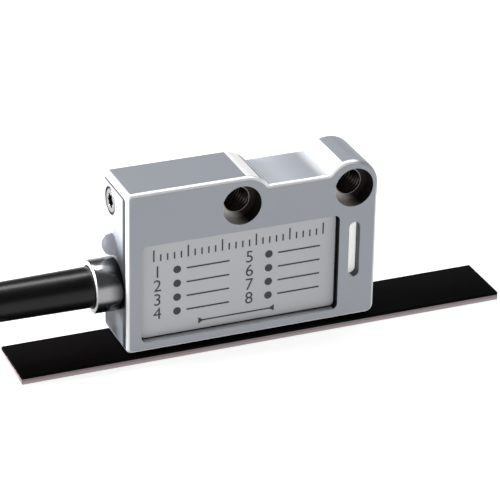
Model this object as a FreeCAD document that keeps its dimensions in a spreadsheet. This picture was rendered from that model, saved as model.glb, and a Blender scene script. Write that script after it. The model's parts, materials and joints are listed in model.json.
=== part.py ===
import FreeCAD, Part
import math
import os
import re

import Sketcher

# Read head of a magnetic linear encoder above its magnetic scale strip, in millimetres.
# +X runs along the strip, +Y to the head's rear mounting face, +Z up from the strip's underside.

SIZES = {
    # scale strip, from the underside up
    "strip_length": 77.6,
    "strip_width": 10.0,
    "liner_thick": 0.15,
    "adhesive_thick": 0.4,
    "carrier_thick": 0.3,
    "magnet_thick": 0.45,
    "air_gap": 0.5,
    # head block
    "head_width": 40.0,
    "head_height": 26.0,
    "head_depth": 10.0,
    "head_offset": 2.5,
    "edge_round": 0.7,
    "rear_chamfer": 0.4,
    "corner_round": 0.9,
    "foot_round": 1.25,
    "boss_radius": 4.4,
    "shelf_drop": 1.85,
    "shelf_round": 0.5,
    "boss_lead": 0.7,
    # mounting holes
    "hole_side": 4.0,
    "hole_spacing": 18.0,
    "bore_diameter": 4.0,
    "counterbore_diameter": 6.2,
    "counterbore_depth": 2.4,
    # front cover and the cavity behind it
    "cover_left": 2.3,
    "cover_bottom": 1.6,
    "cover_right": 6.15,
    "cover_top": 8.6,
    "cover_round": 0.9,
    "cover_recess": 1.0,
    "cover_thick": 0.8,
    "seal_width": 0.25,
    "ledge_width": 1.4,
    "rear_wall": 1.6,
    # marker slot
    "slot_side": 3.65,
    "slot_drop": 14.75,
    "slot_width": 1.8,
    "slot_length": 9.2,
    "slot_recess": 1.4,
    "inlay_thick": 1.2,
    # circuit board on four posts
    "board_inset": 5.8,
    "board_gap": 0.5,
    "board_thick": 1.0,
    "post_height": 1.2,
    "post_diameter": 2.4,
    "post_inset": 2.0,
    # left side: screw and signal lamp
    "screw_back": 2.9,
    "screw_drop": 3.8,
    "screw_head_diameter": 4.2,
    "screw_shank_diameter": 2.5,
    "screw_length": 6.0,
    "socket_width": 1.8,
    "socket_depth": 1.2,
    "lamp_back": 4.05,
    "lamp_gap": 0.15,
    "lamp_dome_radius": 1.7,
    "lamp_stem_diameter": 3.0,
    "lamp_stem_length": 2.6,
    "leg_diameter": 0.5,
    "leg_inset": 0.55,
    "leg_spacing": 0.65,
    # cable entry
    "cable_drop": 16.3,
    "ferrule_diameter": 8.1,
    "ferrule_length": 4.1,
    "ferrule_wall": 0.8,
    "ferrule_floor": 0.7,
    "ferrule_lip": 0.25,
    "spigot_wall": 0.7,
    "relief_gap": 0.15,
    "relief_tip_wall": 0.55,
    "relief_length": 20.0,
    "crimp_wall": 0.8,
    "crimp_length": 2.0,
    "core_diameter": 0.7,
    "core_step": 0.9,
    "core_pad_step": 1.0,
    "fit_gap": 0.05,
    # cable, its hank and the stripped end
    "cable_diameter": 4.6,
    "hank_start": 60.0,
    "hank_straight": 48.0,
    "fold_radius": 13.8,
    "tie_width": 3.6,
    "tie_thick": 0.6,
    "tie_gap": 0.1,
    "tail_length": 28.0,
    "lead_diameter": 0.8,
    "lead_length": 14.0,
    "lead_splay": 1.2,
    "lead_lift": 1.3,
    "tip_diameter": 0.5,
    "tip_length": 3.5,
    # packages on the board's front
    "chip_drop": 1.2,
    "chip_gap": 0.8,
    "interpolator_left": 6.6,
    "interpolator_width": 4.0,
    "interpolator_height": 4.0,
    "interpolator_thick": 0.9,
    "driver_width": 3.9,
    "driver_height": 4.9,
    "driver_thick": 1.5,
    "regulator_left": 3.0,
    "regulator_width": 2.9,
    "regulator_height": 1.6,
    "regulator_thick": 1.1,
    "row_rise": 0.8,
    "sensor_left": 3.0,
    "sensor_pitch": 4.0,
    "sensor_width": 3.0,
    "sensor_height": 2.4,
    "sensor_thick": 0.8,
    "passive_inset": 0.8,
    "capacitor_rise": 4.4,
    "capacitor_pitch": 1.3,
    "capacitor_width": 1.6,
    "capacitor_height": 0.8,
    "capacitor_thick": 0.8,
    "resistor_pitch": 1.8,
    "resistor_width": 1.0,
    "resistor_height": 0.5,
    "resistor_thick": 0.4,
}

# Cores of the stripped end: where each leaves the jacket, in degrees round it, from the outer side inwards
LEAD_TURNS = {"red": 180, "black": 225, "green": 135, "white": 270,
              "yellow": 90, "violet": 315, "blue": 45, "brown": 0}

# Two edges this close lie in one plane
SAME_PLACE = 0.001

doc = FreeCAD.newDocument("read_head")
sheet = doc.addObject("Spreadsheet::Sheet", "Sizes")


def fill_sheet():
    for row, (alias, number) in enumerate(SIZES.items(), start=1):
        sheet.set(f"A{row}", alias)
        sheet.set(f"B{row}", str(number))
        sheet.setAlias(f"B{row}", alias)
    doc.recompute()


def formula(text):
    return re.sub(r"[a-z_]+", lambda word: f"Sizes.{word.group()}", str(text))


def value(text):
    return float(sheet.evalExpression(formula(text)))


# Places shared by several pieces
STRIP_THICK = "liner_thick + adhesive_thick + carrier_thick + magnet_thick"
HEAD_X = "-head_offset - head_width / 2"
HEAD_Y = "-head_depth / 2"
HEAD_Z = f"{STRIP_THICK} + air_gap"
HOLE_HEIGHT = "(head_height - boss_radius)"
RIGHT_HOLE = "(head_width - hole_side)"
LEFT_HOLE = "(head_width - hole_side - hole_spacing)"
LEFT_BOSS = f"({LEFT_HOLE} + boss_lead)"
COVER_WIDTH = "(head_width - cover_left - cover_right)"
COVER_HEIGHT = "(head_height - cover_bottom - cover_top)"
CAVITY_LEFT = "(cover_left + ledge_width)"
CAVITY_BOTTOM = "(cover_bottom + ledge_width)"
CAVITY_WIDTH = f"({COVER_WIDTH} - 2 * ledge_width)"
CAVITY_HEIGHT = f"({COVER_HEIGHT} - 2 * ledge_width)"
CAVITY_DEPTH = "(head_depth - rear_wall)"
BOARD_LEFT = f"({CAVITY_LEFT} + board_inset)"
BOARD_BOTTOM = f"({CAVITY_BOTTOM} + board_gap)"
BOARD_WIDTH = f"({CAVITY_WIDTH} - board_inset - board_gap)"
BOARD_HEIGHT = f"({CAVITY_HEIGHT} - 2 * board_gap)"
BOARD_FRONT = f"({CAVITY_DEPTH} - post_height - board_thick)"
SLOT_Z = "(head_height - slot_drop)"
SCREW_Y = "(head_depth - screw_back)"
SCREW_Z = "(head_height - screw_drop)"
CABLE_Y = "head_depth / 2"
CABLE_Z = "(head_height - cable_drop)"
LAMP_Y = "(head_depth - lamp_back)"
LAMP_Z = f"({CABLE_Z} + ferrule_diameter / 2 + lamp_gap + lamp_dome_radius)"
CABLE_BORE = "cable_diameter + 2 * fit_gap"
FERRULE_BORE = "ferrule_diameter - 2 * ferrule_wall"
SPIGOT = "cable_diameter + 2 * spigot_wall"
CABLE_END = f"({CAVITY_LEFT} + crimp_length + 3 * fit_gap)"
OUTER_RADIUS = "(fold_radius + cable_diameter)"
HANK_MIDDLE = f"(-hank_start - {OUTER_RADIUS} - cable_diameter / 2 - hank_straight / 2)"
HANK_HEIGHT = "3 * cable_diameter"
STEP_HEIGHT = "2 * cable_diameter"
TAIL_Z = "2.5 * cable_diameter"


def bind(thing, **expressions):
    for name, text in expressions.items():
        thing.setExpression(name, formula(text))


def place(thing, x="0", y="0", z="0"):
    for axis, text in zip("xyz", (x, y, z)):
        thing.setExpression(f"Placement.Base.{axis}", formula(text))


def place_in_head(thing, x="0", y="0", z="0"):
    place(thing, f"{HEAD_X} + {x}", f"{HEAD_Y} + {y}", f"{HEAD_Z} + {z}")


def turn_outwards(thing):
    # the piece's own +X then points out of the head's left side
    thing.Placement = FreeCAD.Placement(FreeCAD.Vector(), FreeCAD.Rotation(FreeCAD.Vector(0, 0, 1), 180))


def new_body(label):
    body = doc.addObject("PartDesign::Body", label)
    body.Label = label
    return body


def new_sketch(body, role, x="0", y="0", z="0"):
    sketch = body.newObject("Sketcher::SketchObject", f"{body.Label}_sketch")
    plane = next(feature for feature in body.Origin.OriginFeatures if feature.Role == role)
    sketch.AttachmentSupport = [(plane, "")]
    sketch.MapMode = "FlatFace"
    for axis, text in zip("xyz", (x, y, z)):
        if text != "0":
            sketch.setExpression(f"AttachmentOffset.Base.{axis}", formula(text))
    return sketch


def fix_point(sketch, geometry, point, x, y):
    # a coordinate of nought lies on the sketch's own axis
    for kind, axis, text in (("DistanceX", -2, x), ("DistanceY", -1, y)):
        if text == "0":
            sketch.addConstraint(Sketcher.Constraint("PointOnObject", geometry, point, axis))
        else:
            index = sketch.addConstraint(Sketcher.Constraint(kind, -1, 1, geometry, point, value(text)))
            sketch.setExpression(f"Constraints[{index}]", formula(text))


def fix_radius(sketch, geometry, text):
    index = sketch.addConstraint(Sketcher.Constraint("Radius", geometry, value(text)))
    sketch.setExpression(f"Constraints[{index}]", formula(text))


def draw_polygon(sketch, corners):
    points = [FreeCAD.Vector(value(x), value(y), 0) for x, y in corners]
    first = sketch.GeometryCount
    count = len(points)
    for index in range(count):
        sketch.addGeometry(Part.LineSegment(points[index], points[(index + 1) % count]))
    for index in range(count):
        sketch.addConstraint(Sketcher.Constraint(
            "Coincident", first + index, 2, first + (index + 1) % count, 1))
    for index, (x, y) in enumerate(corners):
        fix_point(sketch, first + index, 1, x, y)


def draw_circle(sketch, x, y, diameter):
    centre = FreeCAD.Vector(value(x), value(y), 0)
    circle = sketch.addGeometry(Part.Circle(centre, FreeCAD.Vector(0, 0, 1), value(diameter) / 2))
    fix_point(sketch, circle, 3, x, y)
    fix_radius(sketch, circle, f"({diameter}) / 2")


def add_arc(sketch, centre, radius, start, end):
    circle = Part.Circle(FreeCAD.Vector(*centre, 0), FreeCAD.Vector(0, 0, 1), radius)
    return sketch.addGeometry(Part.ArcOfCircle(circle, start, end))


def add_line(sketch, start, end):
    return sketch.addGeometry(Part.LineSegment(FreeCAD.Vector(*start, 0), FreeCAD.Vector(*end, 0)))


def join_tangent(sketch, joints):
    for first, first_point, second, second_point in joints:
        sketch.addConstraint(Sketcher.Constraint("Tangent", first, first_point, second, second_point))


def draw_rounded_box(sketch, left, bottom, width, height, radius):
    # four lines and four corner arcs, drawn anticlockwise from the lower side
    x0, z0 = value(left), value(bottom)
    x1, z1 = x0 + value(width), z0 + value(height)
    r = value(radius)
    first = sketch.GeometryCount
    quarter = math.pi / 2
    sides = (((x0 + r, z0), (x1 - r, z0)), ((x1, z0 + r), (x1, z1 - r)),
             ((x1 - r, z1), (x0 + r, z1)), ((x0, z1 - r), (x0, z0 + r)))
    centres = ((x1 - r, z0 + r), (x1 - r, z1 - r), (x0 + r, z1 - r), (x0 + r, z0 + r))
    for index, (side, centre) in enumerate(zip(sides, centres)):
        add_line(sketch, *side)
        add_arc(sketch, centre, r, (index - 1) * quarter, index * quarter)
    for index in range(8):
        following = first + (index + 1) % 8
        join_tangent(sketch, [(first + index, 2, following, 1)])
    for index, kind in enumerate(("Horizontal", "Vertical", "Horizontal", "Vertical")):
        sketch.addConstraint(Sketcher.Constraint(kind, first + 2 * index))
    for index in range(4):
        fix_radius(sketch, first + 2 * index + 1, radius)
    fix_point(sketch, first + 1, 3, f"{left} + {width} - ({radius})", f"{bottom} + {radius}")
    fix_point(sketch, first + 5, 3, f"{left} + {radius}", f"{bottom} + {height} - ({radius})")


def draw_obround(sketch, x, y, half_straight, radius, upright):
    # two half circles joined by straight sides, centred on x, y
    cx, cy, half, r = value(x), value(y), value(half_straight), value(radius)
    first = sketch.GeometryCount
    turn = math.pi / 2 if upright else 0
    along = (math.cos(turn), math.sin(turn))
    across = (-along[1], along[0])

    def point(forward, sideways):
        return (cx + along[0] * forward + across[0] * sideways,
                cy + along[1] * forward + across[1] * sideways)

    add_arc(sketch, point(half, 0), r, turn - math.pi / 2, turn + math.pi / 2)
    add_line(sketch, point(half, r), point(-half, r))
    add_arc(sketch, point(-half, 0), r, turn + math.pi / 2, turn + 3 * math.pi / 2)
    add_line(sketch, point(-half, -r), point(half, -r))
    for index in range(4):
        join_tangent(sketch, [(first + index, 2, first + (index + 1) % 4, 1)])
    fix_radius(sketch, first, radius)
    if upright:
        fix_point(sketch, first, 3, x, f"{y} + {half_straight}")
        fix_point(sketch, first + 2, 3, x, f"{y} - {half_straight}")
    else:
        fix_point(sketch, first, 3, half_straight, y)
        sketch.addConstraint(Sketcher.Constraint("Symmetric", first, 3, first + 2, 3, -1, 1))


def draw_hexagon(sketch, radius):
    # six equal sides in a construction circle round the sketch's origin
    reach = value(radius)
    turns = [index * math.pi / 3 for index in range(6)]
    corners = [(reach * math.cos(turn), reach * math.sin(turn)) for turn in turns]
    sides = [add_line(sketch, corners[index], corners[(index + 1) % 6]) for index in range(6)]
    circle = sketch.addGeometry(Part.Circle(FreeCAD.Vector(), FreeCAD.Vector(0, 0, 1), reach), True)
    sketch.addConstraint(Sketcher.Constraint("Coincident", circle, 3, -1, 1))
    fix_radius(sketch, circle, radius)
    for index, side in enumerate(sides):
        sketch.addConstraint(Sketcher.Constraint("Coincident", side, 2, sides[(index + 1) % 6], 1))
        sketch.addConstraint(Sketcher.Constraint("PointOnObject", side, 1, circle))
        if index:
            sketch.addConstraint(Sketcher.Constraint("Equal", sides[0], side))
    sketch.addConstraint(Sketcher.Constraint("PointOnObject", sides[0], 1, -1))


def add_pad(body, sketch, length, backwards=False):
    pad = body.newObject("PartDesign::Pad", f"{body.Label}_pad")
    pad.Profile = sketch
    pad.Reversed = backwards
    bind(pad, Length=length)
    return pad


def add_pocket(body, sketch, length=None, backwards=False):
    pocket = body.newObject("PartDesign::Pocket", f"{body.Label}_pocket")
    pocket.Profile = sketch
    pocket.Reversed = backwards
    if length is None:
        pocket.Type = "ThroughAll"
    else:
        bind(pocket, Length=length)
    return pocket


def add_turned(body, sketch, kind="Revolution"):
    turned = body.newObject(f"PartDesign::{kind}", f"{body.Label}_{kind.lower()}")
    turned.Profile = sketch
    turned.ReferenceAxis = (sketch, ["H_Axis"])
    turned.Angle = 360
    return turned


def add_box(label, width, depth, height):
    box = doc.addObject("Part::Box", label)
    box.Label = label
    bind(box, Length=width, Width=depth, Height=height)
    return box


def add_group(label, members):
    group = doc.addObject("Part::Compound", label)
    group.Label = label
    group.Links = members
    return group


# Scale strip: four bonded layers of one outline

def make_strip():
    level = "0"
    layers = []
    for label, thick in (("release_liner", "liner_thick"), ("adhesive_layer", "adhesive_thick"),
                         ("carrier_band", "carrier_thick"), ("magnetic_layer", "magnet_thick")):
        layer = add_box(label, "strip_length", "strip_width", thick)
        place(layer, "-strip_length / 2", "-strip_width / 2", level)
        layers.append(layer)
        level = f"{level} + {thick}"
    return layers


# Head block: one profile with two hole bosses and a shelf between them

def draw_head_profile(sketch):
    width, height = value("head_width"), value("head_height")
    corner, foot = value("corner_round"), value("foot_round")
    boss, blend = value("boss_radius"), value("shelf_round")
    shelf = height - value("shelf_drop")
    hole = height - boss
    left_boss, right_boss = value(LEFT_BOSS), width - boss
    rise = shelf + blend - hole
    reach = math.sqrt((boss + blend) ** 2 - rise ** 2)
    lean = math.atan2(rise, reach)
    quarter = math.pi / 2

    floor_line = add_line(sketch, (corner, 0), (width - foot, 0))
    foot_arc = add_arc(sketch, (width - foot, foot), foot, -quarter, 0)
    right_line = add_line(sketch, (width, foot), (width, hole))
    right_arc = add_arc(sketch, (right_boss, hole), boss, 0, math.pi - lean)
    right_blend = add_arc(sketch, (right_boss - reach, shelf + blend), blend, -quarter, -lean)
    shelf_line = add_line(sketch, (right_boss - reach, shelf), (left_boss + reach, shelf))
    left_blend = add_arc(sketch, (left_boss + reach, shelf + blend), blend, lean - math.pi, -quarter)
    left_arc = add_arc(sketch, (left_boss, hole), boss, lean, quarter)
    top_line = add_line(sketch, (left_boss, height), (corner, height))
    top_arc = add_arc(sketch, (corner, height - corner), corner, quarter, math.pi)
    left_line = add_line(sketch, (0, height - corner), (0, corner))
    low_arc = add_arc(sketch, (corner, corner), corner, math.pi, 3 * quarter)

    join_tangent(sketch, (
        (floor_line, 2, foot_arc, 1), (foot_arc, 2, right_line, 1), (right_line, 2, right_arc, 1),
        (right_arc, 2, right_blend, 2), (right_blend, 1, shelf_line, 1), (shelf_line, 2, left_blend, 2),
        (left_blend, 1, left_arc, 1), (left_arc, 2, top_line, 1), (top_line, 2, top_arc, 1),
        (top_arc, 2, left_line, 1), (left_line, 2, low_arc, 1), (low_arc, 2, floor_line, 1)))
    for line in (floor_line, shelf_line, top_line):
        sketch.addConstraint(Sketcher.Constraint("Horizontal", line))
    for line in (right_line, left_line):
        sketch.addConstraint(Sketcher.Constraint("Vertical", line))
    for arc, radius in ((foot_arc, "foot_round"), (right_arc, "boss_radius"), (right_blend, "shelf_round"),
                        (left_blend, "shelf_round"), (left_arc, "boss_radius"), (top_arc, "corner_round"),
                        (low_arc, "corner_round")):
        fix_radius(sketch, arc, radius)
    fix_point(sketch, low_arc, 3, "corner_round", "corner_round")
    fix_point(sketch, right_arc, 3, "head_width - boss_radius", HOLE_HEIGHT)
    fix_point(sketch, left_arc, 3, LEFT_BOSS, HOLE_HEIGHT)
    index = sketch.addConstraint(Sketcher.Constraint("DistanceY", -1, 1, shelf_line, 1, shelf))
    sketch.setExpression(f"Constraints[{index}]", formula("head_height - shelf_drop"))


def outline_edges(shape, depth):
    names = []
    for index, edge in enumerate(shape.Edges, start=1):
        box = edge.BoundBox
        if box.YLength < SAME_PLACE and abs(box.YMin - depth) < SAME_PLACE:
            names.append(f"Edge{index}")
    return names


def ease_outlines(body, pad):
    # the front outline is rounded, and the rear one, round the mounting face, is chamfered
    doc.recompute()
    rounding = body.newObject("PartDesign::Fillet", "front_round")
    rounding.Base = (pad, outline_edges(pad.Shape, 0))
    bind(rounding, Radius="edge_round")
    doc.recompute()
    chamfer = body.newObject("PartDesign::Chamfer", "rear_chamfer")
    chamfer.Base = (rounding, outline_edges(rounding.Shape, value("head_depth")))
    bind(chamfer, Size="rear_chamfer")
    doc.recompute()


def make_housing():
    body = new_body("housing")
    profile = new_sketch(body, "XZ_Plane")
    draw_head_profile(profile)
    pad = add_pad(body, profile, "head_depth", backwards=True)
    ease_outlines(body, pad)

    recess = new_sketch(body, "XZ_Plane")
    draw_rounded_box(recess, "cover_left", "cover_bottom", COVER_WIDTH, COVER_HEIGHT, "cover_round")
    add_pocket(body, recess, "cover_recess + cover_thick")
    cavity = new_sketch(body, "XZ_Plane")
    draw_rounded_box(cavity, CAVITY_LEFT, CAVITY_BOTTOM, CAVITY_WIDTH, CAVITY_HEIGHT, "cover_round")
    add_pocket(body, cavity, CAVITY_DEPTH)
    posts = new_sketch(body, "XZ_Plane", z=f"-{CAVITY_DEPTH}")
    for x in ("post_inset", f"{BOARD_WIDTH} - post_inset"):
        for z in ("post_inset", f"{BOARD_HEIGHT} - post_inset"):
            draw_circle(posts, f"{BOARD_LEFT} + {x}", f"{BOARD_BOTTOM} + {z}", "post_diameter")
    add_pad(body, posts, "post_height")

    slot = new_sketch(body, "XZ_Plane")
    draw_obround(slot, "head_width - slot_side", SLOT_Z, "(slot_length - slot_width) / 2",
                 "slot_width / 2", upright=True)
    add_pocket(body, slot, "slot_recess + inlay_thick")
    for diameter, length in (("counterbore_diameter", "counterbore_depth"), ("bore_diameter", None)):
        holes = new_sketch(body, "XZ_Plane")
        for x in (LEFT_HOLE, RIGHT_HOLE):
            draw_circle(holes, x, HOLE_HEIGHT, diameter)
        add_pocket(body, holes, length)

    for y, z, diameter, length in (
            (CABLE_Y, CABLE_Z, f"{SPIGOT} + 2 * fit_gap", CAVITY_LEFT),
            (LAMP_Y, LAMP_Z, "lamp_stem_diameter + 2 * fit_gap", f"{CAVITY_LEFT} + cover_round"),
            (SCREW_Y, SCREW_Z, "screw_shank_diameter + 2 * fit_gap", "screw_length + socket_depth")):
        hole = new_sketch(body, "YZ_Plane")
        draw_circle(hole, y, z, diameter)
        add_pocket(body, hole, length, backwards=True)
    sink = new_sketch(body, "XY_Plane", y=SCREW_Y, z=SCREW_Z)
    draw_polygon(sink, (("0", "0"), ("0", "screw_head_diameter / 2 + fit_gap"),
                        ("screw_head_diameter / 2 + fit_gap", "0")))
    add_turned(body, sink, "Groove")
    place_in_head(body)
    return body


# Front cover in its recess, with the sealing bead round it

def make_cover():
    cover = new_body("cover_plate")
    outline = new_sketch(cover, "XZ_Plane")
    inset = "seal_width"
    draw_rounded_box(outline, inset, inset, f"{COVER_WIDTH} - 2 * {inset}", f"{COVER_HEIGHT} - 2 * {inset}",
                     f"cover_round - {inset}")
    add_pad(cover, outline, "cover_thick", backwards=True)
    seal = new_body("cover_seal")
    ring = new_sketch(seal, "XZ_Plane")
    outer = "fit_gap"
    for edge, radius in ((outer, f"cover_round - {outer}"),
                         (f"{inset} - fit_gap", f"cover_round - {inset} + fit_gap")):
        draw_rounded_box(ring, edge, edge, f"{COVER_WIDTH} - 2 * ({edge})",
                         f"{COVER_HEIGHT} - 2 * ({edge})", radius)
    add_pad(seal, ring, "cover_thick", backwards=True)
    for body in (cover, seal):
        place_in_head(body, "cover_left", "cover_recess", "cover_bottom")
    return [cover, seal]


def make_inlay():
    inlay = new_body("marker_inlay")
    outline = new_sketch(inlay, "XZ_Plane")
    draw_obround(outline, "0", "0", "(slot_length - slot_width) / 2", "slot_width / 2 - fit_gap",
                 upright=False)
    add_pad(inlay, outline, "inlay_thick", backwards=True)
    inlay.Placement = FreeCAD.Placement(FreeCAD.Vector(), FreeCAD.Rotation(FreeCAD.Vector(0, 1, 0), 90))
    place_in_head(inlay, "head_width - slot_side", "slot_recess", SLOT_Z)
    return inlay


# Circuit board and what is soldered on its front

def make_board():
    board = add_box("circuit_board", BOARD_WIDTH, "board_thick", BOARD_HEIGHT)
    place_in_head(board, BOARD_LEFT, BOARD_FRONT, BOARD_BOTTOM)
    return board


def make_package(label, name, across, up):
    package = add_box(label, f"{name}_width", f"{name}_thick", f"{name}_height")
    place_in_head(package, f"{BOARD_LEFT} + {across}", f"{BOARD_FRONT} - {name}_thick",
                  f"{BOARD_BOTTOM} + {up}")
    return package


def make_packages():
    # chips hang from the board's top edge, sensors stand at its foot, and small parts line its right edge
    chips = [make_package(label, name, across, f"{BOARD_HEIGHT} - chip_drop - {name}_height")
             for label, name, across in (
                 ("interpolator_chip", "interpolator", "interpolator_left"),
                 ("line_driver_chip", "driver", "interpolator_left + interpolator_width + chip_gap"),
                 ("voltage_regulator", "regulator", "regulator_left"))]
    sensors = [make_package(f"sensor_{index}", "sensor", f"sensor_left + {index} * sensor_pitch", "row_rise")
               for index in range(2)]
    edge = f"{BOARD_WIDTH} - passive_inset"
    capacitors = [make_package(f"capacitor_{index}", "capacitor", f"{edge} - capacitor_width",
                               f"capacitor_rise + {index} * capacitor_pitch") for index in range(4)]
    resistors = [make_package(f"resistor_{column}_{row}", "resistor",
                              f"{edge} - resistor_width - {column} * resistor_pitch",
                              f"row_rise + {row} * resistor_pitch")
                 for row in range(2) for column in range(4)]
    return chips + [add_group("field_sensors", sensors), add_group("capacitors", capacitors),
                    add_group("resistors", resistors)]


# Side screw, signal lamp and its two legs

def make_screw():
    body = new_body("side_screw")
    section = new_sketch(body, "XY_Plane")
    shank, head = "screw_shank_diameter / 2", "screw_head_diameter / 2"
    draw_polygon(section, (("0", "0"), ("0", head), (f"{head} - {shank}", shank),
                           ("screw_length", shank), ("screw_length", "0")))
    add_turned(body, section)
    socket = new_sketch(body, "YZ_Plane")
    draw_hexagon(socket, "socket_width / 3 ^ 0.5")
    add_pocket(body, socket, "socket_depth", backwards=True)
    place_in_head(body, "0", SCREW_Y, SCREW_Z)
    return body


def make_lamp():
    body = new_body("signal_lamp")
    section = new_sketch(body, "XY_Plane")
    dome, stem, length = "lamp_dome_radius", "lamp_stem_diameter / 2", "lamp_stem_length"
    radius, reach = value(dome), value(length)
    # the stem lies along +X from the sketch's origin, and the dome stands outside the face
    points = [(0, 0), (reach, 0), (reach, value(stem)), (0, value(stem)), (0, radius)]
    for start, end in zip(points, points[1:]):
        add_line(section, start, end)
    dome_arc = add_arc(section, (0, 0), radius, math.pi / 2, math.pi)
    last = add_line(section, (-radius, 0), (0, 0))
    for index in range(3):
        section.addConstraint(Sketcher.Constraint("Coincident", index, 2, index + 1, 1))
    section.addConstraint(Sketcher.Constraint("Coincident", 3, 2, dome_arc, 1))
    section.addConstraint(Sketcher.Constraint("Coincident", dome_arc, 2, last, 1))
    section.addConstraint(Sketcher.Constraint("Coincident", last, 2, 0, 1))
    section.addConstraint(Sketcher.Constraint("Coincident", 0, 1, -1, 1))
    section.addConstraint(Sketcher.Constraint("Coincident", dome_arc, 3, -1, 1))
    section.addConstraint(Sketcher.Constraint("Horizontal", last))
    fix_point(section, 1, 1, length, "0")
    fix_point(section, 2, 1, length, stem)
    fix_point(section, 3, 1, "0", stem)
    section.addConstraint(Sketcher.Constraint("PointOnObject", dome_arc, 1, -2))
    fix_radius(section, dome_arc, dome)
    add_turned(body, section)
    place_in_head(body, "0", LAMP_Y, LAMP_Z)
    return body


def make_lamp_legs():
    legs = []
    reach = f"{BOARD_LEFT} + post_inset - lamp_stem_length"
    for index in range(2):
        leg = doc.addObject("Part::Cylinder", f"lamp_leg_{index}")
        bind(leg, Radius="leg_diameter / 2", Height=f"{reach} - fit_gap")
        leg.Placement = FreeCAD.Placement(FreeCAD.Vector(), FreeCAD.Rotation(FreeCAD.Vector(0, 1, 0), 90))
        place_in_head(leg, "lamp_stem_length + fit_gap", f"{BOARD_FRONT} - leg_diameter / 2 - fit_gap",
                      f"{CAVITY_BOTTOM} + {CAVITY_HEIGHT} - leg_inset - {index} * leg_spacing")
        legs.append(leg)
    return add_group("lamp_legs", legs)


# Cable entry: ferrule, bend relief, crimp ring and the cores that run to the board

def make_ferrule():
    body = new_body("cable_ferrule")
    section = new_sketch(body, "XY_Plane")
    rim, lip = "ferrule_diameter / 2", "ferrule_lip"
    bore, spigot, inner = f"({FERRULE_BORE}) / 2", f"({SPIGOT}) / 2", f"({CABLE_BORE}) / 2"
    root = CAVITY_LEFT
    draw_polygon(section, (
        ("0", inner), ("0", spigot), (root, spigot), (root, rim), (f"{root} + ferrule_length - {lip}", rim),
        (f"{root} + ferrule_length", f"{rim} - {lip}"), (f"{root} + ferrule_length", bore),
        (f"{root} + ferrule_floor", bore), (f"{root} + ferrule_floor", inner)))
    add_turned(body, section)
    turn_outwards(body)
    place_in_head(body, CAVITY_LEFT, CABLE_Y, CABLE_Z)
    return body


def make_relief():
    body = new_body("bend_relief")
    section = new_sketch(body, "XY_Plane")
    inner, root = f"({CABLE_BORE}) / 2", f"({FERRULE_BORE}) / 2 - relief_gap"
    mouth = "ferrule_length - ferrule_floor"
    draw_polygon(section, (
        ("0", inner), ("0", root), (mouth, root),
        (f"{mouth} + relief_length", "cable_diameter / 2 + relief_tip_wall"),
        (f"{mouth} + relief_length", inner)))
    add_turned(body, section)
    turn_outwards(body)
    place_in_head(body, "-ferrule_floor", CABLE_Y, CABLE_Z)
    return body


def make_crimp():
    body = new_body("crimp_ring")
    section = new_sketch(body, "XY_Plane")
    inner, outer = f"({CABLE_BORE}) / 2", "cable_diameter / 2 + crimp_wall"
    draw_polygon(section, (("0", inner), ("0", outer), ("crimp_length", outer), ("crimp_length", inner)))
    add_turned(body, section)
    place_in_head(body, f"{CAVITY_LEFT} + fit_gap", CABLE_Y, CABLE_Z)
    return body


def head_point(x, y, z):
    return FreeCAD.Vector(value(f"{HEAD_X} + {x}"), value(f"{HEAD_Y} + {y}"), value(f"{HEAD_Z} + {z}"))


def make_cores():
    # two columns of four leave the jacket and spread to a row of pads up the board
    spread = value("core_step")
    pad_step = value("core_pad_step")
    start = head_point(f"{CABLE_END} + core_diameter / 2", CABLE_Y, CABLE_Z)
    pad = head_point(f"{BOARD_LEFT} + post_inset / 2", f"{BOARD_FRONT} - core_diameter - fit_gap", CABLE_Z)
    cores = []
    for index in range(8):
        row, column = divmod(index, 2)
        offset = FreeCAD.Vector(0, (0.5 - column) * spread, (row - 1.5) * spread)
        end = pad + FreeCAD.Vector(0, 0, (index - 3.5) * pad_step)
        base = start + offset
        run = end - base
        cores.append(Part.makeCylinder(value("core_diameter") / 2, run.Length, base, run))
    feature = doc.addObject("Part::Feature", "inner_cores")
    feature.Label = "inner_cores"
    feature.Shape = Part.makeCompound(cores)
    return feature


# Cable: straight out of the head, then a tied hank of the length that is put away

def make_cable():
    cable = doc.addObject("Part::Cylinder", "cable")
    cable.Label = "cable"
    bind(cable, Radius="cable_diameter / 2", Height=f"hank_start + {HEAD_X} + {CABLE_END}")
    cable.Placement = FreeCAD.Placement(FreeCAD.Vector(), FreeCAD.Rotation(FreeCAD.Vector(0, 1, 0), 90))
    place(cable, "-hank_start", f"{HEAD_Y} + {CABLE_Y}", f"{HEAD_Z} + {CABLE_Z}")
    return cable


def make_hank():
    # two columns of turns: three layers high outside, two inside
    body = new_body("cable_hank")
    half = "hank_straight / 2"
    outer = new_sketch(body, "XY_Plane")
    draw_obround(outer, "0", "0", half, f"{OUTER_RADIUS} + cable_diameter / 2", upright=False)
    add_pad(body, outer, HANK_HEIGHT)
    step = new_sketch(body, "XY_Plane", z=HANK_HEIGHT)
    draw_obround(step, "0", "0", half, "fold_radius + cable_diameter / 2", upright=False)
    add_pocket(body, step, f"{HANK_HEIGHT} - {STEP_HEIGHT}")
    hole = new_sketch(body, "XY_Plane", z=HANK_HEIGHT)
    draw_obround(hole, "0", "0", half, "fold_radius - cable_diameter / 2", upright=False)
    add_pocket(body, hole)
    notch = new_sketch(body, "XY_Plane")
    side = f"{OUTER_RADIUS} + cable_diameter"
    draw_rounded_box(notch, "0", "0", "tie_width + 2 * tie_gap", f"2 * ({side})", "fit_gap")
    bind(notch, **{"AttachmentOffset.Base.x": "-tie_width / 2 - tie_gap",
                   "AttachmentOffset.Base.y": f"-({side})"})
    add_pocket(body, notch, "tie_thick + fit_gap", backwards=True)
    place(body, HANK_MIDDLE)
    return body


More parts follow.
